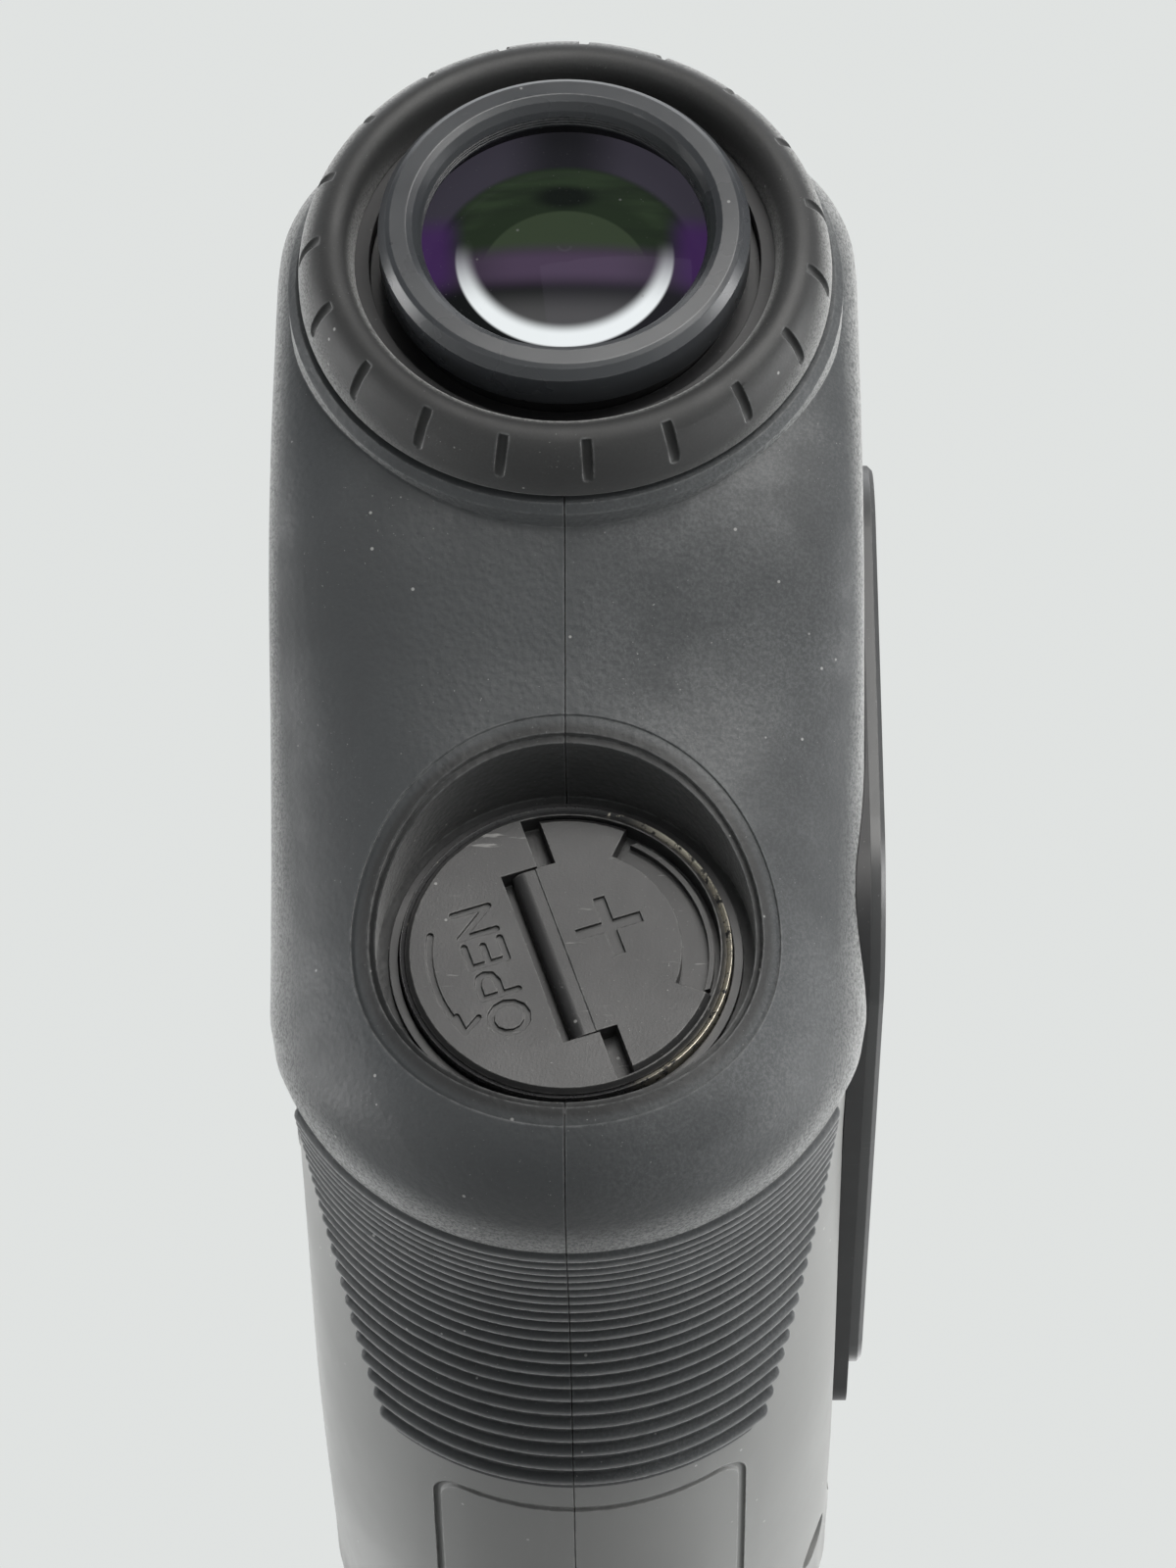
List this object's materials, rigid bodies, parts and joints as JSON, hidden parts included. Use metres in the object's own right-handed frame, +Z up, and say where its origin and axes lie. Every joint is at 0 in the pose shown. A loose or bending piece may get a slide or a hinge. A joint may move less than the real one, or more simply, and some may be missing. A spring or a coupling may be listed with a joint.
{
  "type": "laser rangefinder",
  "caption": "Compact monocular laser rangefinder: rubber-armoured upright body, dioptre ring, ribbed finger scallop, screw-in battery cap and magnetic side plate.",
  "frame": {"origin": "on the optical axis, in the plane of the front rim that the object can stand on", "axes": "+Y out of the objective lens, +Z up when the object is held for use, +X towards the user's right hand"},
  "size_m": [0.0391, 0.1053, 0.0807],
  "materials": {
    "armour_rubber": "fine leathery satin",
    "ring_rubber": "matte",
    "button_rubber": "matte",
    "seal_rubber": "matte",
    "shell_plastic": "smooth light grey",
    "inner_plastic": "moulded",
    "trim_plastic": "satin",
    "plate_plastic": "satin",
    "cap_plastic": "satin",
    "bezel_plastic": "satin anodised",
    "black_aluminium": "black anodised",
    "rim_metal": "blackened, worn bright on one side",
    "steel": "plain",
    "magnet_metal": "nickel plated",
    "contact_metal": "gold plated",
    "coated_glass": "anti-reflection coated",
    "clear_glass": "polished",
    "battery_wrap": "printed sleeve",
    "board": "solder mask",
    "switch_plastic": "moulded",
    "flex_film": "film"
  },
  "bodies": {
    "housing": {"left_armour": "armour_rubber", "right_armour": "armour_rubber", "left_shell": "shell_plastic", "right_shell": "shell_plastic", "housing_screws": "steel", "front_bezel": "trim_plastic", "side_plate": "plate_plastic", "magnet_tray": "inner_plastic", "side_magnets": "magnet_metal", "eyepiece_barrel": "black_aluminium", "battery_socket": "black_aluminium", "battery_tube": "inner_plastic", "front_contact": "contact_metal", "fire_frame": "trim_plastic", "fire_board": "board", "fire_switch": "switch_plastic", "mode_switch": "switch_plastic", "side_board": "board", "objective_cell": "black_aluminium", "objective_front_lens": "coated_glass", "objective_rear_lens": "coated_glass", "objective_ring": "black_aluminium", "prism_cage": "inner_plastic", "front_prism": "clear_glass", "roof_prism": "clear_glass", "receiver_board": "board", "receiver_sensor": "steel", "display_frame": "inner_plastic", "display_panel": "clear_glass", "display_cable": "flex_film", "emitter_lens": "coated_glass", "emitter_barrel": "black_aluminium", "laser_diode": "contact_metal", "laser_board": "board", "main_board": "board", "board_parts": "switch_plastic", "vibration_motor": "steel", "motor_cradle": "seal_rubber"},
    "dioptre": {"dioptre_ring": "ring_rubber", "dioptre_sleeve": "inner_plastic"},
    "eyepiece": {"lens_carriage": "black_aluminium", "cam_pin": "steel", "ocular_bezel": "bezel_plastic", "eye_lens": "coated_glass", "lens_spacer": "black_aluminium", "field_lens": "coated_glass", "field_lens_ring": "black_aluminium"},
    "cap_seal": {"cap_oring": "seal_rubber"},
    "cap_core": {"cap_contact": "contact_metal", "cap_spring": "steel"},
    "cap": {"battery_cap": "cap_plastic", "cap_rim": "rim_metal", "tab_hinge_pin": "steel"},
    "tab": {"cap_tab": "cap_plastic"},
    "battery_cell": {"battery": "battery_wrap"},
    "trigger": {"fire_button": "button_rubber"},
    "mode": {"mode_button": "button_rubber"},
    "weight": {"motor_weight": "magnet_metal"}
  },
  "joints": [
    {"name": "dioptre_turn", "type": "hinge", "parent": "housing", "child": "dioptre", "pos_m": [0, -0.1, 0], "axis": [0, 1, 0], "range_deg": [-110, 110]},
    {"name": "lens_travel", "type": "slide", "parent": "housing", "child": "eyepiece", "axis": [0, -1, 0], "range_m": [-0.0015, 0.0015]},
    {"name": "cap_pull", "type": "slide", "parent": "housing", "child": "cap_seal", "axis": [0, -1, 0], "range_m": [0, 0.06]},
    {"name": "cap_advance", "type": "slide", "parent": "cap_seal", "child": "cap_core", "axis": [0, -1, 0], "range_m": [0, 0.0024]},
    {"name": "cap_turn", "type": "hinge", "parent": "cap_core", "child": "cap", "pos_m": [0, -0.0865, -0.0415], "axis": [0, -1, 0], "range_deg": [0, 720]},
    {"name": "tab_flip", "type": "hinge", "parent": "cap", "child": "tab", "pos_m": [-0.00068, -0.08558, -0.04173], "axis": [0.3173, 0, -0.9483], "range_deg": [0, 92]},
    {"name": "battery_out", "type": "slide", "parent": "housing", "child": "battery_cell", "axis": [0, -1, 0], "range_m": [0, 0.036]},
    {"name": "fire_press", "type": "slide", "parent": "housing", "child": "trigger", "axis": [0, 0, -1], "range_m": [0, 0.0005]},
    {"name": "mode_press", "type": "slide", "parent": "housing", "child": "mode", "axis": [1, 0, 0], "range_m": [0, 0.0007]},
    {"name": "motor_spin", "type": "hinge", "parent": "housing", "child": "weight", "pos_m": [0.007, -0.037, -0.0455], "axis": [1, 0, 0], "continuous": true}
  ],
  "couplings": [
    {"joint": "lens_travel", "follows": "dioptre_turn", "m_per_rad": 0.00078131},
    {"joint": "cap_advance", "follows": "cap_turn", "m_per_rad": 0.00019098},
    {"joint": "battery_out", "follows": "cap_pull", "ratio": 0.6}
  ]
}
